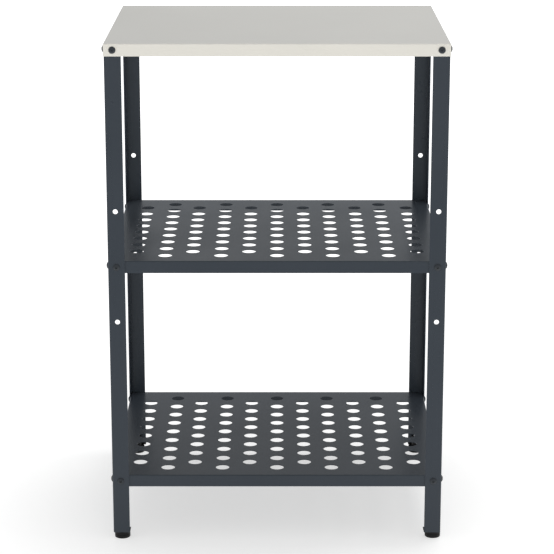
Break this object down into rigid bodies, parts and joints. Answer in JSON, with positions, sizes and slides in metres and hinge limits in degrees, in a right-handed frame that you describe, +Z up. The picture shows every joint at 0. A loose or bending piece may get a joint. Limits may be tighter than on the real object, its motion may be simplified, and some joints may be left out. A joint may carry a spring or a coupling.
{
  "type": "potting bench",
  "caption": "Free-standing steel potting bench: a flat worktop and pierced drainage shelves bolted between angle legs on screw-out levelling feet.",
  "frame": {"origin": "on the floor, under the centre of the bench", "axes": "+X to the right as seen from the front, +Y from front to back, +Z up"},
  "size_m": [0.607, 0.497, 0.912],
  "materials": {
    "pale_coat": "satin",
    "dark_coat": "satin",
    "black_bolt": "satin",
    "zinc": "satin",
    "black_plastic": "matte"
  },
  "bodies": {
    "frame": {"worktop": "pale_coat", "shelf_middle": "dark_coat", "shelf_bottom": "dark_coat", "leg_front_left": "dark_coat", "leg_front_right": "dark_coat", "leg_back_right": "dark_coat", "leg_back_left": "dark_coat", "foot_plug_front_left": "black_plastic", "foot_plug_front_right": "black_plastic", "foot_plug_back_right": "black_plastic", "foot_plug_back_left": "black_plastic", "bolts_worktop": "black_bolt", "bolts_shelf_middle": "black_bolt", "bolts_shelf_bottom": "black_bolt", "nuts_worktop": "zinc", "nuts_shelf_middle": "zinc", "nuts_shelf_bottom": "zinc"},
    "foot_front_left": {"glide_front_left": "black_plastic", "glide_stud_front_left": "zinc"},
    "foot_front_right": {"glide_front_right": "black_plastic", "glide_stud_front_right": "zinc"},
    "foot_back_right": {"glide_back_right": "black_plastic", "glide_stud_back_right": "zinc"},
    "foot_back_left": {"glide_back_left": "black_plastic", "glide_stud_back_left": "zinc"}
  },
  "joints": [
    {"name": "screw_out_front_left", "type": "slide", "parent": "frame", "child": "foot_front_left", "axis": [0, 0, -1], "range_m": [0, 0.01]},
    {"name": "screw_out_front_right", "type": "slide", "parent": "frame", "child": "foot_front_right", "axis": [0, 0, -1], "range_m": [0, 0.01]},
    {"name": "screw_out_back_right", "type": "slide", "parent": "frame", "child": "foot_back_right", "axis": [0, 0, -1], "range_m": [0, 0.01]},
    {"name": "screw_out_back_left", "type": "slide", "parent": "frame", "child": "foot_back_left", "axis": [0, 0, -1], "range_m": [0, 0.01]}
  ]
}
